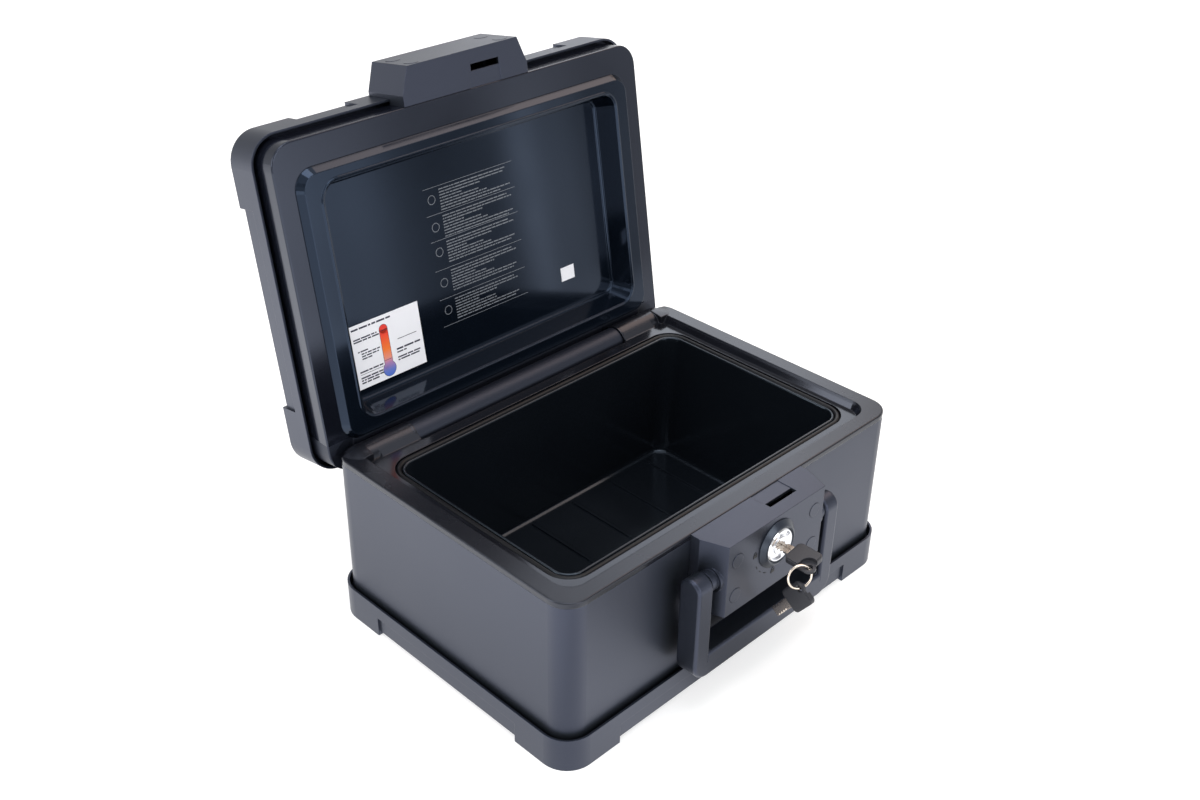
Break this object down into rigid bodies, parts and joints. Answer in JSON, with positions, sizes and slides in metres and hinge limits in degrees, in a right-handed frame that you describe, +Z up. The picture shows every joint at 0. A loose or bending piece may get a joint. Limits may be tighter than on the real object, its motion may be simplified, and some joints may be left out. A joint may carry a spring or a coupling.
{
  "type": "fire-resistant document chest",
  "caption": "Small charcoal fire-resistant chest with a hinged lid, drawn inner tub, key lock with hook, bail handle and two keys on a ring.",
  "frame": {"origin": "centre of the chest's footprint on the surface it stands on", "axes": "+X to the right seen from the lock side, lock faces -Y, hinge at +Y, +Z up; rest pose is the lid fully open"},
  "size_m": [0.32, 0.3601, 0.3497],
  "materials": {
    "charcoal": "fine matte texture",
    "gloss_black": "smooth semi-gloss",
    "liner_black": "smooth semi-gloss",
    "seal": "matte",
    "fill": "cast, rough",
    "escutcheon": "satin",
    "key_black": "satin",
    "chrome": "polished",
    "steel": "zinc plated",
    "nickel": "nickel plated",
    "label": "printed sticker"
  },
  "bodies": {
    "chest": {"base_tray": "charcoal", "body_shell": "charcoal", "body_insulation": "fill", "rim_frame": "gloss_black", "liner_tub": "liner_black", "rim_gasket": "seal", "hinge_pins": "steel", "lock_housing": "charcoal", "housing_screws": "steel", "housing_plugs": "charcoal", "lock_escutcheon": "escutcheon", "lock_cylinder": "chrome", "lock_nut": "steel"},
    "lock_core": {"lock_plug": "chrome", "hook_cam": "steel", "cam_screw": "steel"},
    "key_1": {"key_1_blade": "nickel", "key_1_head": "key_black"},
    "ring": {"key_ring": "nickel"},
    "key_2": {"key_2_blade": "nickel", "key_2_head": "key_black"},
    "bail": {"handle": "charcoal"},
    "lid": {"lid_cap": "charcoal", "lid_frame": "gloss_black", "lid_liner": "gloss_black", "lid_insulation": "fill", "latch_housing": "charcoal", "latch_strike": "steel", "latch_screws": "steel", "latch_plugs": "charcoal", "info_label": "label", "check_label": "label"}
  },
  "joints": [
    {"name": "lid_hinge", "type": "hinge", "parent": "chest", "child": "lid", "pos_m": [0, 0.1021, 0.1169], "axis": [1, 0, 0], "range_deg": [0, 99.3]},
    {"name": "handle_pivot", "type": "hinge", "parent": "chest", "child": "bail", "pos_m": [0, -0.1249, 0.0988], "axis": [-1, 0, 0], "range_deg": [-4, 150]},
    {"name": "lock_turn", "type": "hinge", "parent": "chest", "child": "lock_core", "pos_m": [0, -0.1354, 0.1055], "axis": [0, -1, 0], "range_deg": [0, 90]},
    {"name": "key_slide", "type": "slide", "parent": "lock_core", "child": "key_1", "axis": [0, -1, 0], "range_m": [0, 0.02]},
    {"name": "ring_swing", "type": "hinge", "parent": "key_1", "child": "ring", "pos_m": [-0.00339, -0.1636, 0.10349], "axis": [-0.4513, 0.4319, 0.7809], "range_deg": [-10, 10]},
    {"name": "key_2_swing", "type": "hinge", "parent": "ring", "child": "key_2", "pos_m": [-0.01003, -0.16297, 0.09143], "axis": [0.8813, -0.4726, 0], "range_deg": [-15, 15]}
  ]
}
